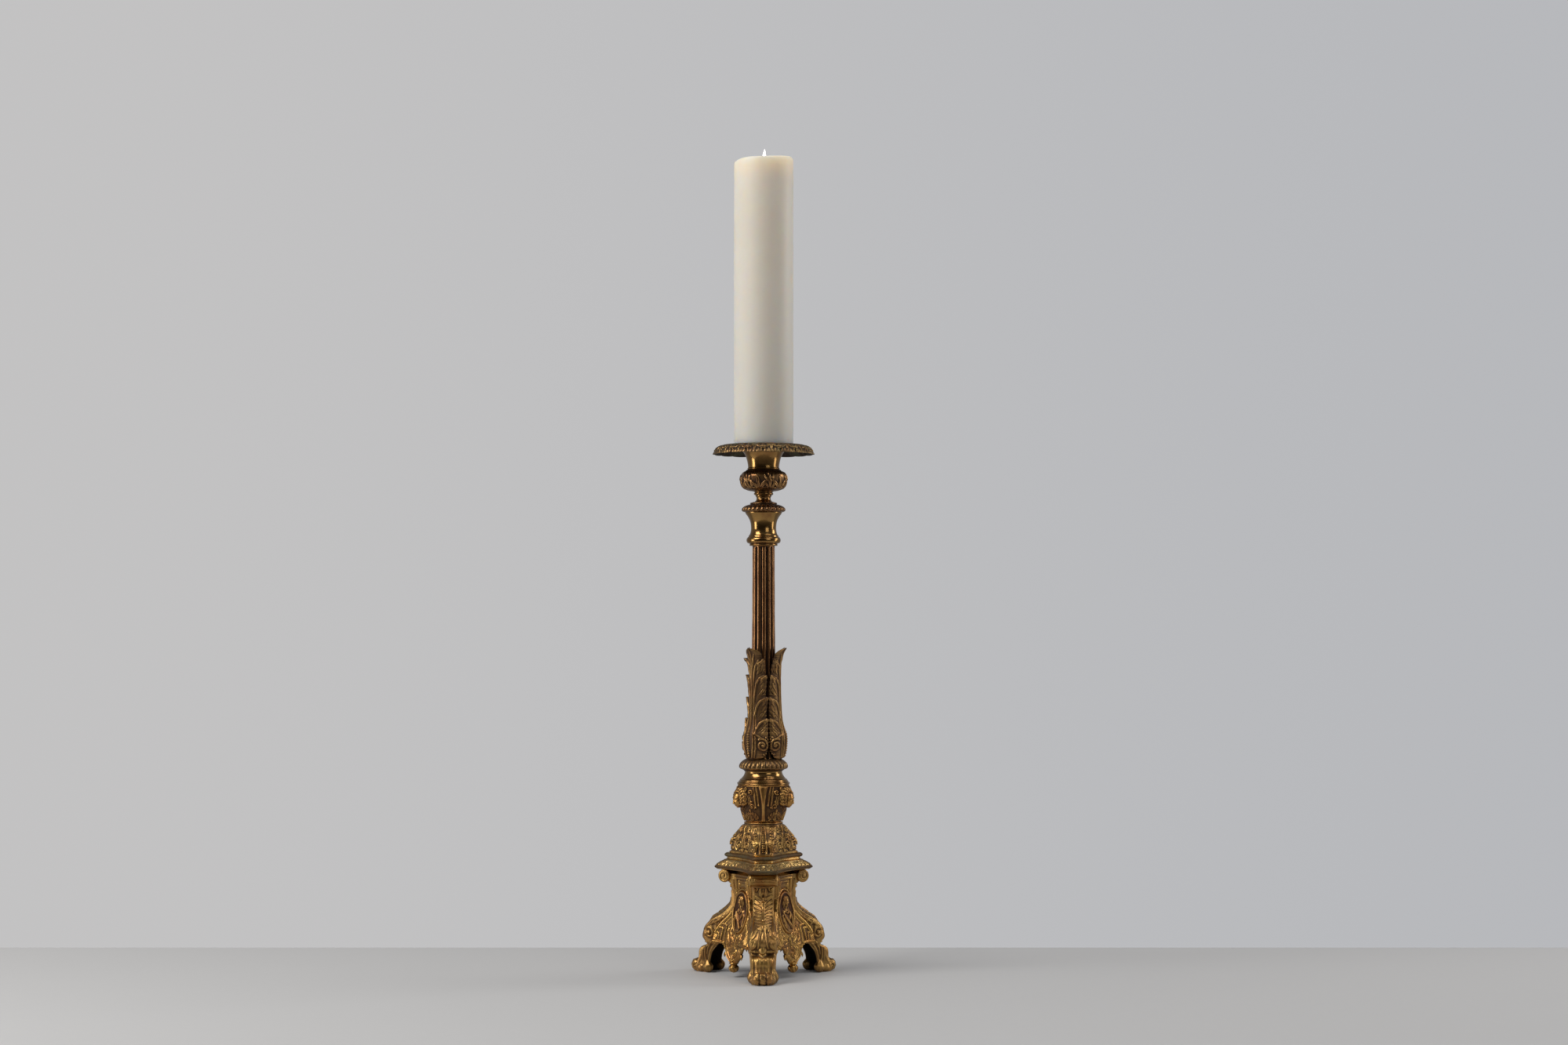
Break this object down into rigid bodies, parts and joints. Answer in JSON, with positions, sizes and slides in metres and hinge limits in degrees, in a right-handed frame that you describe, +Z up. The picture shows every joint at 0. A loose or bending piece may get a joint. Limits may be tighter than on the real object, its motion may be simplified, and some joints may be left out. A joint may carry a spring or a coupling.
{
  "type": "torchere candle stand",
  "caption": "Three-footed turned and cast brass altar candlestick: scroll legs, three-sided base, leafy fluted stem, drip pan and pricket holding a tall pillar candle.",
  "frame": {"origin": "on the stand's upright axis, in the plane the three feet stand on", "axes": "+Z up along the stem, -Y towards the front foot, +X to the right of someone who looks at the front foot"},
  "size_m": [0.177, 0.1533, 0.96],
  "materials": {
    "patinated_brass": "cast brass with brown patina in the hollows and rubbed high points",
    "polished_brass": "turned brass, worn smooth and bright",
    "iron_parts": "plain dark iron",
    "candle_wax": "ivory wax, satin",
    "wick_cord": "burnt cotton"
  },
  "bodies": {
    "stand": {"leg_front": "patinated_brass", "leg_left": "patinated_brass", "leg_right": "patinated_brass", "leg_screws": "iron_parts", "base_body": "patinated_brass", "apron_left": "patinated_brass", "apron_right": "patinated_brass", "apron_back": "patinated_brass", "medallion_left": "patinated_brass", "medallion_right": "patinated_brass", "medallion_back": "patinated_brass", "medallion_pins": "polished_brass", "platform": "patinated_brass", "dome": "patinated_brass", "vase": "patinated_brass", "vase_collar": "polished_brass", "calyx_ring": "patinated_brass", "leaf_left": "patinated_brass", "leaf_right": "patinated_brass", "leaf_back": "patinated_brass", "leaf_screws": "iron_parts", "column": "patinated_brass", "capital": "polished_brass", "flange": "patinated_brass", "spool": "polished_brass", "knop": "patinated_brass", "cup": "polished_brass", "drip_pan": "patinated_brass", "pricket": "iron_parts", "tie_rod": "iron_parts", "clamp_washer": "iron_parts", "clamp_nut": "iron_parts"},
    "pillar_candle": {"candle": "candle_wax", "wick": "wick_cord"}
  },
  "joints": [
    {"name": "candle_lift", "type": "slide", "parent": "stand", "child": "pillar_candle", "axis": [0, 0, 1], "range_m": [0, 0.045]}
  ]
}
